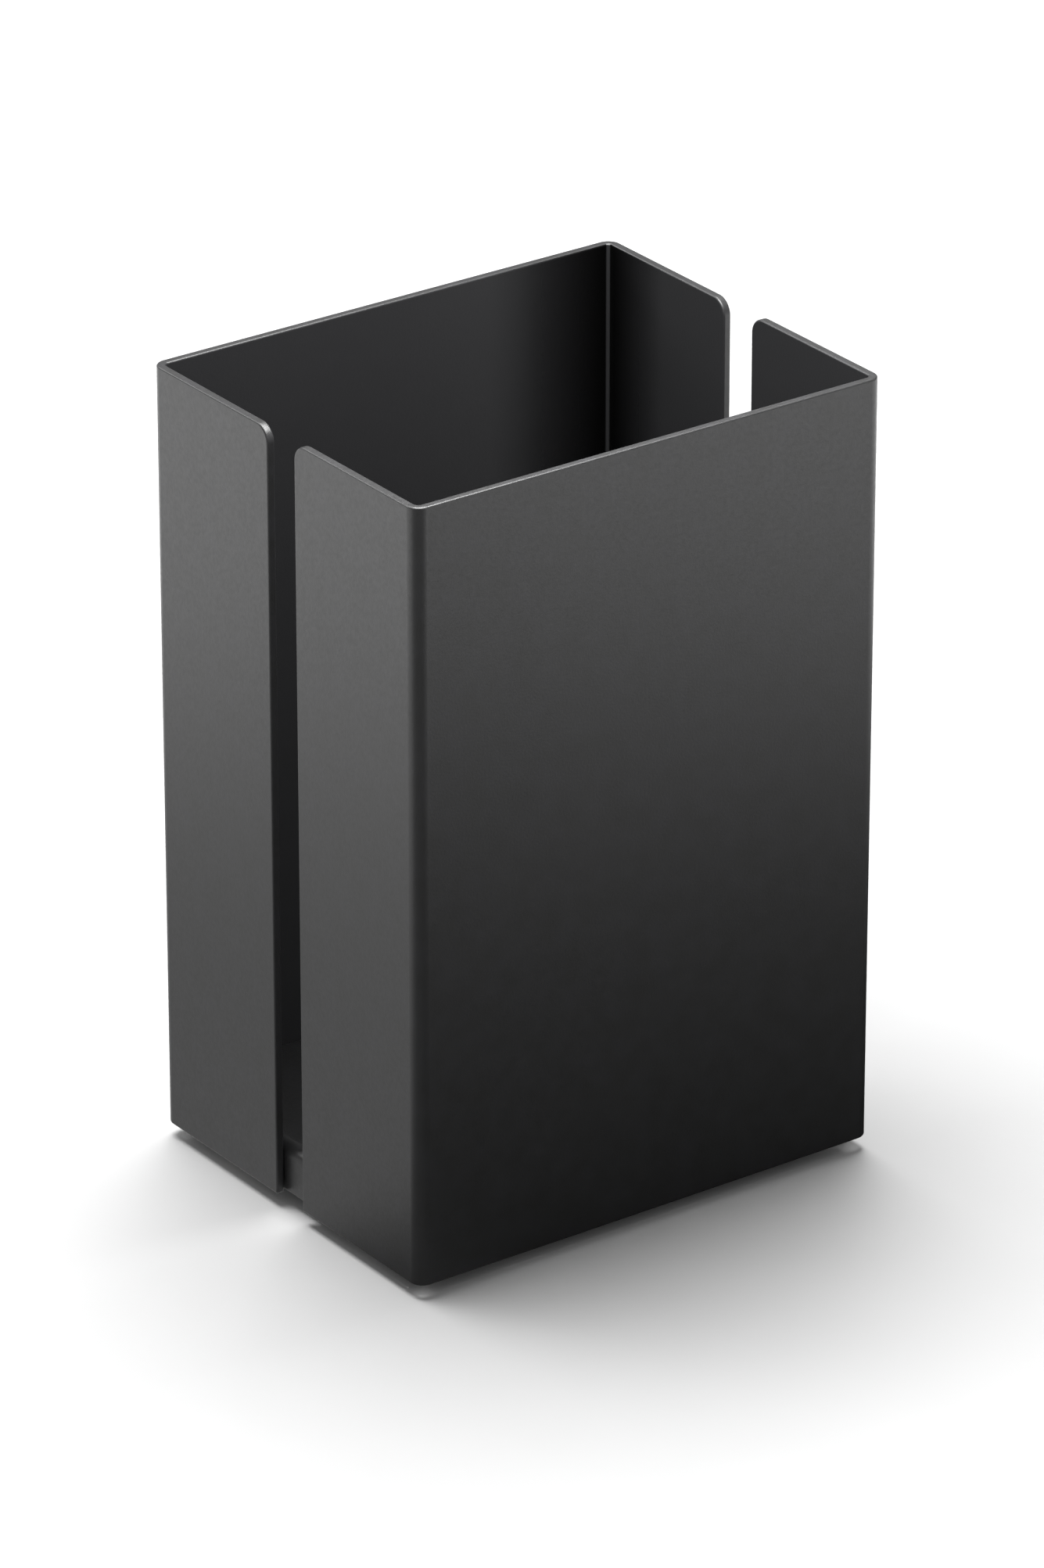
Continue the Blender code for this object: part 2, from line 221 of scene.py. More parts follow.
def add_relief(tree, value, depth):
    """Add a bump of this depth in metres on top of the relief that is already there."""
    normal = tree.nodes["Principled BSDF"].inputs["Normal"]
    bump = tree.nodes.new("ShaderNodeBump")
    bump.inputs["Strength"].default_value = 1.0
    bump.inputs["Distance"].default_value = depth
    if normal.is_linked:
        tree.links.new(normal.links[0].from_socket, bump.inputs["Normal"])
    tree.links.new(value, bump.inputs["Height"])
    tree.links.new(bump.outputs["Normal"], normal)


def add_coat_relief(tree):
    """Fine grain over a slow orange peel."""
    add_relief(tree, noise(tree, COAT_PEEL, 2), COAT_PEEL_DEPTH)
    add_relief(tree, noise(tree, COAT_GRAIN, 3), COAT_GRAIN_DEPTH)


def powder_coat():
    """Satin black powder coat: a fine grain over a slow orange peel, with uneven gloss."""
    finish = new_finish("satin_powder_coat", 0.0)
    tree = finish.node_tree
    set_colour(tree, noise(tree, COAT_CLOUDS, 4), COAT_DARK_CLOUD, COAT_BLACK)
    set_roughness(tree, noise(tree, COAT_GLOSS_PATCHES, 3), *COAT_ROUGHNESS)
    add_coat_relief(tree)
    return finish


def painted_corner_shade(tree):
    """Painted shade at one inner corner of the shell: 0 beside the corner, 1 away from it and in its
    bend.
    """
    low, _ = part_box("front_shell")
    corner = (low.x + SHEET, low.y + SHEET, 0.0)
    away = vector_math(tree, "SUBTRACT", object_place(tree), corner)
    share = vector_math(tree, "MULTIPLY", away, (1 / SHADE_ALONG_WALL, 1 / SHADE_ALONG_FLANGE, 0.0))
    distance = vector_math(tree, "LENGTH", share)
    beside = number_math(tree, "POWER", distance, SHADE_FADE, clamp=True)
    bend = remap(tree, distance, *UNSHADED_BEND, 1.0, 0.0)
    return number_math(tree, "MAXIMUM", beside, bend)


def inner_coat_painted_shade():
    """The same coat on the inner faces, darkened near one inner corner as painted shade, and smoother
    there.
    """
    finish = new_finish("inner_coat_painted_shade", 0.0)
    tree = finish.node_tree
    near_corner = painted_corner_shade(tree)
    clouds = remap(tree, noise(tree, COAT_CLOUDS, 4), 0.0, 1.0, INNER_CLOUD_LOW, 1.0)
    # the clouds are the coat's own tone; near_corner brings in the painted shade at the corner
    clouds_and_shade = number_math(tree, "MULTIPLY", clouds, near_corner)
    set_colour(tree, clouds_and_shade, PAINTED_SHADE_COLOUR, COAT_BLACK, 0.0, 1.0)
    set_roughness(tree, near_corner, *INNER_ROUGHNESS, 0.0, 1.0)
    add_coat_relief(tree)
    return finish


def moulded_rubber():
    finish = new_finish("moulded_rubber", 0.0)
    tree = finish.node_tree
    set_colour(tree, noise(tree, 260, 5), (0.014, 0.014, 0.014), (0.028, 0.027, 0.026))
    set_roughness(tree, noise(tree, 500, 4), 0.62, 0.82)
    add_relief(tree, noise(tree, 2600, 4), 0.00003)
    return finish


def bright_zinc():
    """Zinc plate: faint blue and straw clouds, fine crystals and rack marks."""
    finish = new_finish("bright_zinc", 1.0)
    tree = finish.node_tree
    set_colour(tree, noise(tree, 420, 3), (0.56, 0.58, 0.63), (0.68, 0.67, 0.62))
    set_roughness(tree, noise(tree, 1500, 4), 0.24, 0.42)
    add_relief(tree, noise(tree, 5200, 3), 0.000008)
    return finish


def turned_steel():
    """Stainless steel with fine lines across its axis from turning and rolling."""
    finish = new_finish("turned_stainless", 1.0)
    tree = finish.node_tree
    lines = noise(tree, 900, 3, stretch=(0.25, 0.25, 6.0))
    set_colour(tree, noise(tree, 300, 4), (0.50, 0.49, 0.48), (0.60, 0.59, 0.57))
    set_roughness(tree, lines, 0.22, 0.38)
    add_relief(tree, lines, 0.000006)
    return finish


def copper_flash():
    """Thin copper flash on steel: patchy colour, duller where it is thin."""
    finish = new_finish("copper_flash", 1.0)
    tree = finish.node_tree
    patches = noise(tree, 700, 5)
    set_colour(tree, patches, (0.44, 0.26, 0.17), (0.60, 0.40, 0.28))
    set_roughness(tree, patches, 0.42, 0.28)
    add_relief(tree, noise(tree, 4200, 3), 0.00001)
    return finish


def pale_floor():
    """Matt white floor, lit from within away from the box so that it has no horizon."""
    finish = new_finish("pale_floor", 0.0)
    tree = finish.node_tree
    distance = vector_math(tree, "LENGTH", object_place(tree))
    shader = tree.nodes["Principled BSDF"]
    shader.inputs["Emission Color"].default_value = (1.0, 1.0, 1.0, 1.0)
    tree.links.new(remap(tree, distance, *FLOOR_GLOW_SPAN, 0.0, FLOOR_GLOW, eased=True),
                   shader.inputs["Emission Strength"])
    set_colour(tree, noise(tree, 3, 5), (0.84, 0.84, 0.84), (0.86, 0.86, 0.86))
    set_roughness(tree, noise(tree, 40, 3), 0.60, 0.70)
    add_relief(tree, noise(tree, 300, 3), 0.00003)
    return finish


def glowing_finish(name):
    """A material that only glows, and its Emission node."""
    finish = bpy.data.materials.new(name)
    finish.use_nodes = True
    tree = finish.node_tree
    tree.nodes.remove(tree.nodes["Principled BSDF"])
    glow = tree.nodes.new("ShaderNodeEmission")
    tree.links.new(glow.outputs["Emission"], tree.nodes["Material Output"].inputs["Surface"])
    return finish, glow


# ---------------------------------------------------------------- mesh helpers

def mesh_from_bmesh(name, bm):
    mesh = bpy.data.meshes.new(name)
    bm.to_mesh(mesh)
    bm.free()
    return mesh


def smooth(mesh, angle=35):
    """Shade a mesh smooth, except over edges sharper than this many degrees."""
    mesh.shade_smooth()
    mesh.set_sharp_from_angle(angle=math.radians(angle))
    return mesh


def baked(name, mesh, add_modifiers):
    """The mesh that a stack of modifiers makes of another mesh."""
    holder = bpy.data.objects.new(name, mesh)
    bpy.context.scene.collection.objects.link(holder)
    add_modifiers(holder)
    graph = bpy.context.evaluated_depsgraph_get()
    made = bpy.data.meshes.new_from_object(holder.evaluated_get(graph))
    made.name = name
    bpy.data.objects.remove(holder, do_unlink=True)
    return made


def carved(name, mesh, cutter):
    """A mesh with another mesh's space cut out of it."""
    tool = bpy.data.objects.new(name + "_tool", cutter)
    bpy.context.scene.collection.objects.link(tool)

    def cut(holder):
        boolean = holder.modifiers.new("cut", "BOOLEAN")
        boolean.object = tool
        boolean.operation = "DIFFERENCE"
        boolean.solver = "EXACT"

    made = baked(name, mesh, cut)
    bpy.data.objects.remove(tool, do_unlink=True)
    return made


def arc(radius, start, end, steps, centre=(0.0, 0.0)):
    """Points of an arc between two angles in degrees, both ends included."""
    angles = [math.radians(start + (end - start) * i / steps) for i in range(steps + 1)]
    return [(centre[0] + radius * math.cos(a), centre[1] + radius * math.sin(a)) for a in angles]


def ring_mesh(name, rings, steps=ROUND_STEPS, closed=False):
    """Solid from (radius, height) rings round Z; a radius may be a function of the angle.

    The rings run down the outer side. A closed one goes on up the bore; an open one is capped.
    """
    bm = bmesh.new()
    loops = []
    for radius, height in rings:
        loop = []
        for step in range(steps):
            angle = 2 * math.pi * step / steps
            reach = radius(angle) if callable(radius) else radius
            loop.append(bm.verts.new((reach * math.cos(angle), reach * math.sin(angle), height)))
        loops.append(loop)
    pairs = list(zip(loops, loops[1:]))
    if closed:
        pairs.append((loops[-1], loops[0]))
    for upper, lower in pairs:
        for step in range(steps):
            after = (step + 1) % steps
            bm.faces.new((upper[step], lower[step], lower[after], upper[after]))
    if not closed:
        bm.faces.new(loops[0])
        bm.faces.new(reversed(loops[-1]))
    bmesh.ops.recalc_face_normals(bm, faces=bm.faces)
    return mesh_from_bmesh(name, bm)


def prism(bm, outline, low, high):
    """Add an upright prism with this XY outline to a bmesh."""
    bottom = [bm.verts.new((x, y, low)) for x, y in outline]
    top = [bm.verts.new((x, y, high)) for x, y in outline]
    bm.faces.new(reversed(bottom))
    bm.faces.new(top)
    for i, _ in enumerate(outline):
        after = (i + 1) % len(outline)
        bm.faces.new((bottom[i], bottom[after], top[after], top[i]))


def join_into(bm, part, place):
    """Move one bmesh's geometry, placed by a matrix, into another."""
    bmesh.ops.transform(part, matrix=place, verts=part.verts)
    mesh = mesh_from_bmesh("joined", part)
    bm.from_mesh(mesh)
    bpy.data.meshes.remove(mesh)


def thread_rings(radius, pitch, top, bottom, chamfer):
    """Rings of a helical thread that runs down from a chamfered tip."""
    count = int((top - bottom) / pitch * THREAD_ROWS)
    rings = []
    for row in range(count + 1):
        height = top - (top - bottom) * row / count
        limit = radius - max(0.0, chamfer - (top - height))

        def reach(angle, height=height, limit=limit):
            turn = height / pitch - angle / (2 * math.pi)
            valley = abs(2 * (turn - math.floor(turn)) - 1)
            return min(limit, radius - THREAD_DEPTH * pitch * valley)

        rings.append((reach, height))
    return rings


# ---------------------------------------------------------------- pieces

def show(node, mesh, finish, location=(0, 0, 0), rotation=(0, 0, 0)):
    """Place the piece that stands for a CAD node, and name it after that node."""
    piece = bpy.data.objects.new(node + "_look", mesh)
    if not mesh.materials:
        mesh.materials.append(finish)
    bpy.context.scene.collection.objects.link(piece)
    piece.location = location
    piece.rotation_euler = rotation
    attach(piece, "root")
    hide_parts(node)
    return piece


def centre_of(node):
    low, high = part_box(node)
    return (low + high) / 2


def nodes_named(start, but_not=()):
    """CAD nodes whose names start in one way and in none of some others."""
    return sorted(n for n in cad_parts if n.startswith(start)
                  and not any(n.startswith(other) for other in but_not))


def stud_nodes():
    return nodes_named("stud_", but_not=("stud_washer_", "stud_nut_"))


def turn_of(node):
    """Turn about Z that points a shell fixing's axis into the box, from the wall it is on."""
    turns = {"front_wall": 0.0, "back_wall": math.pi,
             "left_side": -math.pi / 2, "right_side": math.pi / 2}
    return next(turn for wall, turn in turns.items() if wall in node)


def sheet_modifiers(piece, edge_round, other_side=0):
    """Thicken a middle surface to sheet metal with rounded, coated edges.

    The surface's back takes the finish that is other_side places further along its list.
    """
    solidify = piece.modifiers.new("sheet_thickness", "SOLIDIFY")
    solidify.thickness = SHEET
    solidify.offset = 0.0
    solidify.use_even_offset = True
    solidify.material_offset = other_side
    bevel = piece.modifiers.new("coated_edges", "BEVEL")
    bevel.width = edge_round
    bevel.segments = EDGE_SEGMENTS
    bevel.limit_method = "ANGLE"
    bevel.angle_limit = math.radians(CREASE_DEGREES)


def bend_edges(bm, edges):
    """Round these edges of a middle surface to the bend of the sheet."""
    bmesh.ops.bevel(bm, geom=edges, offset=BEND_OUTER - SHEET / 2, offset_type="OFFSET",
                    segments=BEND_SEGMENTS, profile=0.5, affect="EDGES")


def shell_surface():
    """Middle surface of the front shell: a long wall with a flange bent back at each end."""
    low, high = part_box("front_shell")
    half_x = high.x - SHEET / 2
    wall_y = low.y + SHEET / 2
    bm = bmesh.new()
    posts = []
    for x, y in ((-half_x, high.y), (-half_x, wall_y), (half_x, wall_y), (half_x, high.y)):
        foot = bm.verts.new((x, y, low.z))
        head = bm.verts.new((x, y, high.z))
        posts.append(bm.edges.new((foot, head)))
    for first in range(3):
        bmesh.ops.bridge_loops(bm, edges=posts[first:first + 2])
    bend_edges(bm, posts[1:3])
    slot_heads = [v for v in bm.verts
                  if abs(v.co.y - high.y) < MERGE and abs(v.co.z - high.z) < MERGE]
    bmesh.ops.bevel(bm, geom=slot_heads, offset=SLOT_CORNER, offset_type="OFFSET",
                    segments=CORNER_SEGMENTS, profile=0.5, affect="VERTICES")
    bmesh.ops.recalc_face_normals(bm, faces=bm.faces)
    return mesh_from_bmesh("shell_surface", bm)


def build_shells(outer_finish, inner_finish):
    """Both shells: the back one is the front one turned half round."""
    surface = shell_surface()
    surface.materials.append(outer_finish)
    surface.materials.append(inner_finish)

    def thicken(holder):
        sheet_modifiers(holder, SHELL_EDGE_ROUND, other_side=1)

    mesh = smooth(baked("shell", surface, thicken), angle=CREASE_DEGREES)
    for node, turn in (("front_shell", 0.0), ("back_shell", math.pi)):
        piece = show(node, mesh, outer_finish, rotation=(0, 0, turn))
        piece.modifiers.new("flat_faces_stay_flat", "WEIGHTED_NORMAL").keep_sharp = True


def tray_surface():
    """Middle surface of the tray: a plate with a flange folded down along each side."""
    low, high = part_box("base_tray")
    half_x = high.x - SHEET / 2
    half_y = high.y - SHEET / 2
    top = high.z - SHEET / 2
    bm = bmesh.new()
    bmesh.ops.create_grid(bm, x_segments=3, y_segments=3, size=1.0)
    for vert in bm.verts:
        x_reach = half_x if abs(vert.co.x) > 0.5 else half_x - TRAY_RELIEF
        y_reach = half_y if abs(vert.co.y) > 0.5 else half_y - TRAY_RELIEF
        vert.co = Vector((math.copysign(x_reach, vert.co.x),
                          math.copysign(y_reach, vert.co.y), top))
    corners = [v for v in bm.verts
               if abs(v.co.x) > half_x - MERGE and abs(v.co.y) > half_y - MERGE]
    bmesh.ops.delete(bm, geom=corners, context="VERTS")
    sides = [e for e in bm.edges if e.is_boundary and
             (all(abs(v.co.x) > half_x - MERGE for v in e.verts) or
              all(abs(v.co.y) > half_y - MERGE for v in e.verts))]
    for side in sides:
        skirt = bmesh.ops.extrude_edge_only(bm, edges=[side])["geom"]
        lowered = [v for v in skirt if isinstance(v, bmesh.types.BMVert)]
        bmesh.ops.translate(bm, verts=lowered, vec=(0, 0, low.z - top))
    bend_edges(bm, sides)
    bmesh.ops.recalc_face_normals(bm, faces=bm.faces)
    return mesh_from_bmesh("tray_surface", bm)


def tray_cutter():
    """Everything cut out of the tray: notches round the studs and holes for the clinch nuts."""
    tray_low, tray_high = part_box("base_tray")
    notch_radius = STUD_RADIUS + HOLE_CLEARANCE
    bm = bmesh.new()
    for node in stud_nodes():
        centre, turn = centre_of(node), turn_of(node)
        drop = centre.z - tray_low.z + notch_radius
        outline = arc(notch_radius, 0, 180, CORNER_SEGMENTS)
        outline += [(-notch_radius, -drop), (notch_radius, -drop)]
        part = bmesh.new()
        prism(part, outline, -2 * SHEET, 2 * SHEET)
        place = (Matrix.Translation(centre) @ Matrix.Rotation(turn, 4, "Z")
                 @ Matrix.Rotation(math.pi / 2, 4, "X"))
        join_into(bm, part, place)
    for node in nodes_named("clinch_nut_"):
        centre = centre_of(node)
        outline = arc(CLINCH_SHANK_RADIUS + HOLE_CLEARANCE, 0, 360, ROUND_STEPS, centre.xy)[:-1]
        prism(bm, outline, tray_high.z - 2 * SHEET, tray_high.z + SHEET)
    bmesh.ops.recalc_face_normals(bm, faces=bm.faces)
    return mesh_from_bmesh("tray_cutter", bm)


def build_tray(finish):
    def thicken(holder):
        sheet_modifiers(holder, TRAY_EDGE_ROUND)

    solid = baked("tray", tray_surface(), thicken)
    mesh = smooth(carved("tray", solid, tray_cutter()), angle=CREASE_DEGREES)
    piece = show("base_tray", mesh, finish)
    piece.modifiers.new("flat_faces_stay_flat", "WEIGHTED_NORMAL").keep_sharp = True


def stud_mesh(length):
    """Weld stud, its axis on Z and its welded end at z = 0."""
    plain = 0.0006
    run_out = 0.0001
    rings = thread_rings(STUD_RADIUS, STUD_PITCH, length, plain, chamfer=0.0004)
    rings += [(STUD_RADIUS, plain - run_out), (STUD_RADIUS, 0.0)]
    return smooth(ring_mesh("weld_stud", rings))


def hex_nut_mesh(across_flats, thickness):
    """Hexagon nut with both faces chamfered and its bore countersunk."""
    flat = across_flats / 2
    corner = flat * HEX_CORNER_SHARE
    countersink = 0.0003

    def hexagon(inset):
        """Radius of the hexagon, cut back near a face by its cone."""
        cone = corner - inset

        def reach(angle):
            turned = (angle + math.pi / 6) % (math.pi / 3) - math.pi / 6
            return min(flat / math.cos(turned), cone)
        return reach

    down = [(hexagon(0.0005), thickness), (hexagon(0.00025), thickness - 0.00012),
            (hexagon(0.0), thickness - 0.00026)]
    up = [(radius, thickness - height) for radius, height in reversed(down)]
    bore = [(NUT_BORE + countersink, 0.0), (NUT_BORE, countersink),
            (NUT_BORE, thickness - countersink), (NUT_BORE + countersink, thickness)]
    return smooth(ring_mesh("hex_nut", down + up + bore, steps=72, closed=True), angle=25)


def washer_mesh(name, bore, radius, thickness):
    """Stamped washer: rounded on the die side, square on the other."""
    soft = thickness * 0.3
    outer = arc(soft, 90, 0, 4, (radius - soft, thickness - soft))
    inner = arc(soft, 180, 90, 4, (bore + soft, thickness - soft))
    rings = outer + [(radius, 0.0), (bore, 0.0)] + inner
    return smooth(ring_mesh(name, rings, closed=True), angle=40)


def build_shell_fixings(stud_finish, plate_finish):
    """Studs, washers and nuts: each axis points into the box from the shell it is on."""
    for kind, nodes, finish, slot in (
            ("washer", nodes_named("stud_washer_"), plate_finish, "zinc_steel"),
            ("nut", nodes_named("stud_nut_"), plate_finish, "zinc_steel"),
            ("stud", stud_nodes(), stud_finish, "stud_steel")):
        mesh = None
        for node in nodes:
            low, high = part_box(node)
            turn = turn_of(node)
            inward = Matrix.Rotation(turn, 3, "Z") @ Vector((0, 1, 0))
            along = abs((high - low).dot(inward))
            if mesh is None:
                mesh = fixing_mesh(kind, along, high.z - low.z)
            base = (low + high) / 2 - inward * (along / 2)
            show(node, mesh, finish, base, (-math.pi / 2, 0, turn))


def fixing_mesh(kind, along, across):
    """Mesh of one kind of fixing, from its length and its upright width."""
    if kind == "stud":
        return stud_mesh(along)
    if kind == "washer":
        return washer_mesh("stud_washer", STUD_RADIUS + WASHER_CLEARANCE, across / 2, along)
    return hex_nut_mesh(across * math.cos(math.pi / 6), along)


def foot_mesh(low, high, pocket_depth, seat_height):
    """Rubber bumper: tapered side, rounded rims, counterbore below and pocket above."""
    top = high.z - low.z
    wide = (high.x - low.x) / 2
    taper = 0.0008
    base = wide - taper
    rim = 0.0004
    lip = 0.0006
    mouth = 0.0003
    counterbore = 0.0048
    pocket = 0.0044
    bore = SCREW_RADIUS + HOLE_CLEARANCE
    rings = arc(rim, 90, 0, 5, (wide - rim, top - rim))
    rings += arc(lip, 0, -90, 7, (base - lip, lip))
    rings += arc(mouth, -90, -180, 4, (counterbore + mouth, mouth))
    rings += [(counterbore, seat_height), (bore, seat_height),
              (bore, top - pocket_depth), (pocket, top - pocket_depth), (pocket, top)]
    return smooth(ring_mesh("rubber_foot", rings, closed=True), angle=40)


def clinch_nut_mesh(radius, height):
    """Clinch nut: knurled body below, plain shank above."""
    bore = SCREW_RADIUS + 0.0001
    rim = CLINCH_BODY_HEIGHT
    shank = CLINCH_SHANK_RADIUS
    bevel = 0.0002
    body_bevel = 0.0004
    countersink = 0.0003

    def knurled(angle):
        return radius - CLINCH_KNURL_DEPTH * (0.5 - 0.5 * math.cos(CLINCH_KNURLS * angle))

    rings = [(shank - bevel, height), (shank, height - bevel), (shank, rim),
             (radius - body_bevel, rim), (knurled, rim - bevel),
             (knurled, bevel), (radius - body_bevel, 0.0),
             (bore + countersink, 0.0), (bore, countersink),
             (bore, height - bevel), (bore + bevel, height)]
    return smooth(ring_mesh("clinch_nut", rings, steps=6 * CLINCH_KNURLS, closed=True), angle=40)


def recess_blade(turn):
    """One tapered blade of the cross that leaves the driver recess in a screw's head."""
    blade = bmesh.new()
    mouth = (0.0005, 0.0024, -0.0002)       # half its width, half its span, and its height
    bottom = (0.00035, 0.0009, 0.0016)
    for wide, span, height in (mouth, bottom):
        loop = [blade.verts.new((x, y, height)) for x, y in
                ((-span, -wide), (span, -wide), (span, wide), (-span, wide))]
        blade.faces.new(loop)
    blade.verts.ensure_lookup_table()
    low, high = blade.verts[:4], blade.verts[4:]
    for i in range(4):
        after = (i + 1) % 4
        blade.faces.new((low[i], low[after], high[after], high[i]))
    bmesh.ops.recalc_face_normals(blade, faces=blade.faces)
    bmesh.ops.rotate(blade, verts=blade.verts, matrix=Matrix.Rotation(turn, 3, "Z"))
    return mesh_from_bmesh("recess_blade", blade)


def pan_screw_mesh(height):
    """Pan-head screw standing on its head, with a threaded shank and a cross recess."""
    crown = SCREW_HEAD_HEIGHT / 2
    shoulder = SCREW_HEAD_HEIGHT + SCREW_PITCH
    neck = SCREW_RADIUS * SCREW_CORE_SHARE
    run_out = 0.0002
    head_bevel = 0.0001
    rings = thread_rings(SCREW_RADIUS, SCREW_PITCH, height, shoulder, chamfer=0.0005)
    rings += [(neck, shoulder - run_out), (neck, SCREW_HEAD_HEIGHT),
              (SCREW_HEAD_RADIUS - head_bevel, SCREW_HEAD_HEIGHT),
              (SCREW_HEAD_RADIUS, SCREW_HEAD_HEIGHT - head_bevel)]
    rings += arc(crown, 0, -88, 10, (SCREW_HEAD_RADIUS - crown, crown))
    screw = ring_mesh("pan_screw", rings)
    for turn in (math.pi / 4, -math.pi / 4):
        screw = carved("pan_screw", screw, recess_blade(turn))
    return smooth(screw)


def build_feet(rubber, steel, zinc):
    """Each foot with its washer, clinch nut and screw; all four sets share their meshes."""
    places = [n.removeprefix("clinch_nut_") for n in nodes_named("clinch_nut_")]
    first = places[0]
    foot_low, foot_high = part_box("foot_" + first)
    washer_low, washer_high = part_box("foot_washer_" + first)
    clinch_low, clinch_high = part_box("clinch_nut_" + first)
    screw_low, screw_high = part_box("foot_screw_" + first)
    clearance = foot_high.z - clinch_low.z + HOLE_CLEARANCE
    seat = washer_high.z + HOLE_CLEARANCE
    foot = foot_mesh(foot_low, foot_high, clearance, seat)
    washer = washer_mesh("foot_washer", SCREW_RADIUS + WASHER_CLEARANCE,
                         (washer_high.x - washer_low.x) / 2, washer_high.z - washer_low.z)
    clinch = clinch_nut_mesh((clinch_high.x - clinch_low.x) / 2, clinch_high.z - clinch_low.z)
    screw = pan_screw_mesh(screw_high.z - screw_low.z)
    for place in places:
        for node, mesh, finish, slot in (
                ("foot_" + place, foot, rubber, "foot_rubber"),
                ("foot_washer_" + place, washer, steel, "screw_steel"),
                ("clinch_nut_" + place, clinch, zinc, "zinc_steel"),
                ("foot_screw_" + place, screw, steel, "screw_steel")):
            low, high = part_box(node)
            centre = (low + high) / 2
            show(node, mesh, finish, (centre.x, centre.y, low.z))


# ---------------------------------------------------------------- studio

def direction(azimuth, elevation):
    """Unit vector towards a viewpoint: azimuth 0 stands in front, 90 on the right."""
    a, e = math.radians(azimuth), math.radians(elevation)
    return Vector((math.sin(a) * math.cos(e), -math.cos(a) * math.cos(e), math.sin(e)))


def stage_plane(name, size, height, finish):
    bm = bmesh.new()
    bmesh.ops.create_grid(bm, x_segments=8, y_segments=8, size=size)
    plane = bpy.data.objects.new(name, mesh_from_bmesh(name, bm))
    plane.data.materials.append(finish)
    plane.location.z = height
    bpy.context.scene.collection.objects.link(plane)
    return plane


def glow_curve(tree, distance, glow):
    """Radiance read from a table of distance and glow."""
    curve = tree.nodes.new("ShaderNodeFloatCurve")
    points = curve.mapping.curves[0].points
    for reach, radiance in glow[1:-1]:
        points.new(reach, radiance / GLOW_SCALE)
    for point, (reach, radiance) in ((points[0], glow[0]), (points[-1], glow[-1])):
        point.location = (reach, radiance / GLOW_SCALE)
    curve.mapping.update()
    tree.links.new(distance, curve.inputs["Value"])
    return curve.outputs["Value"]


def facing(tree, heading, azimuth, start, end, low, high):
    """Value that changes as the heading from the middle turns towards an azimuth."""
    share = vector_math(tree, "DOT_PRODUCT", heading, direction(azimuth, 0))
    return remap(tree, share, start, end, low, high, eased=True)


def glowing_card():
    """Emission that grows outwards, differs left and right, and is weaker on the dark side."""
    finish, glow = glowing_finish("glowing_card")
    tree = finish.node_tree
    place = object_place(tree)
    distance = vector_math(tree, "LENGTH", place)
    heading = vector_math(tree, "NORMALIZE", place)
    sides = tree.nodes.new("ShaderNodeMix")
    to_right = facing(tree, heading, DARK_SIDE_AZIMUTH + 90, *SIDES_FADE, 0.0, 1.0)
    tree.links.new(to_right, sides.inputs["Factor"])
    tree.links.new(glow_curve(tree, distance, LEFT_GLOW), sides.inputs["A"])
    tree.links.new(glow_curve(tree, distance, RIGHT_GLOW), sides.inputs["B"])
    mask = facing(tree, heading, DARK_SIDE_AZIMUTH, *DARK_SIDE_FADE,
                  GLOW_SCALE, GLOW_SCALE * DARK_SIDE_GLOW)
    strength = number_math(tree, "MULTIPLY", sides.outputs["Result"], mask)
    tree.links.new(strength, glow.inputs["Strength"])
    return finish


def build_floor():
    """The floor lights and takes shadows; a glowing card stands for it in reflections."""
    floor = stage_plane("studio_floor", STAGE_REACH, 0.0, pale_floor())
    floor.visible_glossy = False
    card = stage_plane("reflection_card", STAGE_REACH, CARD_HEIGHT, glowing_card())
    card.visible_camera = False
    card.visible_diffuse = False
    card.visible_shadow = False


def build_backdrop():
    """White dome far round the box, seen by the camera alone."""
    bm = bmesh.new()
    bmesh.ops.create_uvsphere(bm, u_segments=48, v_segments=24, radius=STAGE_REACH)
    dome = bpy.data.objects.new("backdrop", mesh_from_bmesh("backdrop", bm))
    finish, _ = glowing_finish("white_backdrop")
    dome.data.materials.append(finish)
    dome.visible_diffuse = False
    dome.visible_glossy = False
    dome.visible_shadow = False
    bpy.context.scene.collection.objects.link(dome)


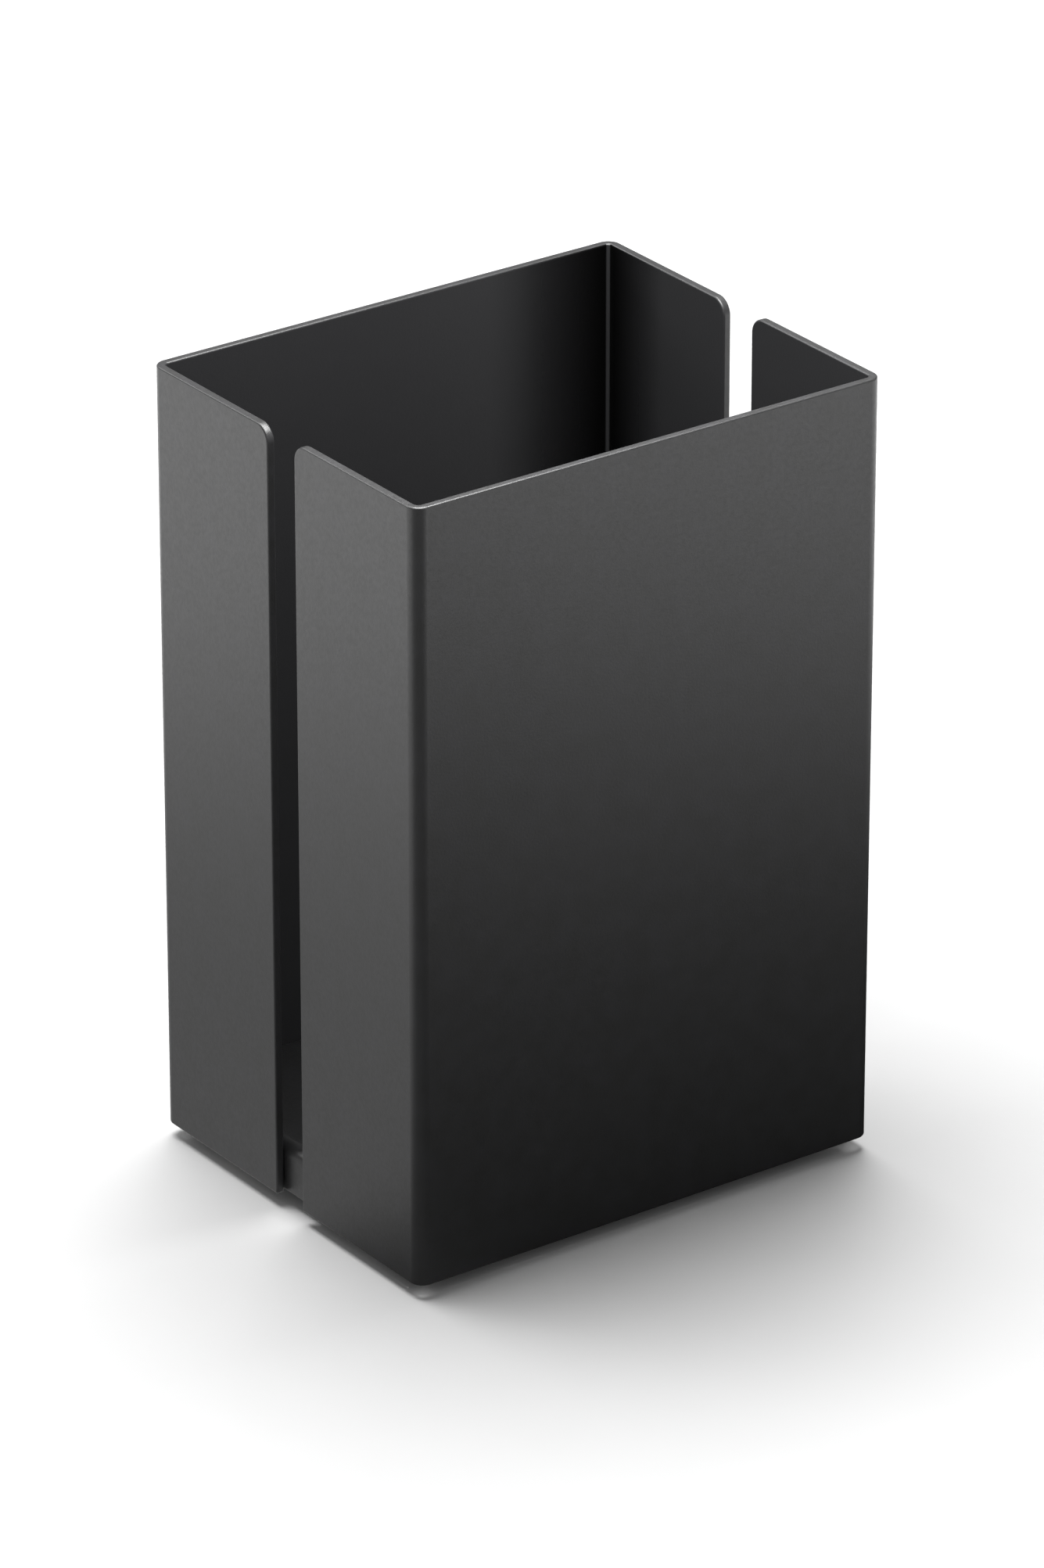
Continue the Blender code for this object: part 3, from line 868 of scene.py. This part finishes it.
def add_softbox(name, azimuth, elevation, distance, size, watts):
    """Rectangular area light that faces the box."""
    light = bpy.data.lights.new(name, "AREA")
    light.shape = "RECTANGLE"
    light.size, light.size_y = size
    light.energy = watts
    lamp = bpy.data.objects.new(name, light)
    out = direction(azimuth, elevation)
    lamp.location = Vector((0, 0, LAMP_AIM_HEIGHT)) + out * distance
    lamp.rotation_euler = (-out).to_track_quat("-Z", "Y").to_euler()
    bpy.context.scene.collection.objects.link(lamp)
    return lamp


def light_only(lamp, pieces):
    """Let the lamp light these pieces and nothing else."""
    lit = bpy.data.collections.new("lit_by_" + lamp.name)
    for name in pieces:
        lit.objects.link(bpy.data.objects[name])
    lamp.light_linking.receiver_collection = lit


def add_well_light():
    """Small soft light close above the open top."""
    light = bpy.data.lights.new("well_light", "AREA")
    light.size = WELL_LIGHT_SIZE
    light.energy = WELL_LIGHT_WATTS
    lamp = bpy.data.objects.new("well_light", light)
    lamp.location = WELL_LIGHT_PLACE
    bpy.context.scene.collection.objects.link(lamp)
    return lamp


def build_world():
    world = bpy.data.worlds.new("studio")
    world.use_nodes = True
    background = world.node_tree.nodes["Background"]
    background.inputs["Color"].default_value = (1.0, 1.0, 1.0, 1.0)
    background.inputs["Strength"].default_value = WORLD_STRENGTH
    bpy.context.scene.world = world


def build_camera():
    camera = bpy.data.objects.new("camera", bpy.data.cameras.new("camera"))
    back = direction(VIEW_AZIMUTH, VIEW_ELEVATION)
    camera.location = VIEW_AIM + back * VIEW_DISTANCE
    camera.rotation_euler = (-back).to_track_quat("-Z", "Y").to_euler()
    camera.data.sensor_width = VIEW_SENSOR
    camera.data.lens = VIEW_LENS
    camera.data.clip_start, camera.data.clip_end = VIEW_CLIP
    bpy.context.scene.collection.objects.link(camera)
    bpy.context.scene.camera = camera


coat = powder_coat()
zinc_plate = bright_zinc()
build_shells(coat, inner_coat_painted_shade())
build_tray(coat)
build_shell_fixings(copper_flash(), zinc_plate)
build_feet(moulded_rubber(), turned_steel(), zinc_plate)
build_floor()
build_backdrop()
build_world()
add_softbox("back_key", azimuth=176, elevation=76, distance=1.4, size=(1.2, 0.8), watts=28.5)
rim_light = add_softbox("rim_light", azimuth=-150, elevation=35, distance=1.3, size=(0.6, 0.6),
                        watts=6)
light_only(rim_light, (*SHELL_PIECES, "base_tray_look"))
light_only(add_well_light(), SHELL_PIECES)
build_camera()
bpy.context.scene.view_settings.view_transform = "Standard"
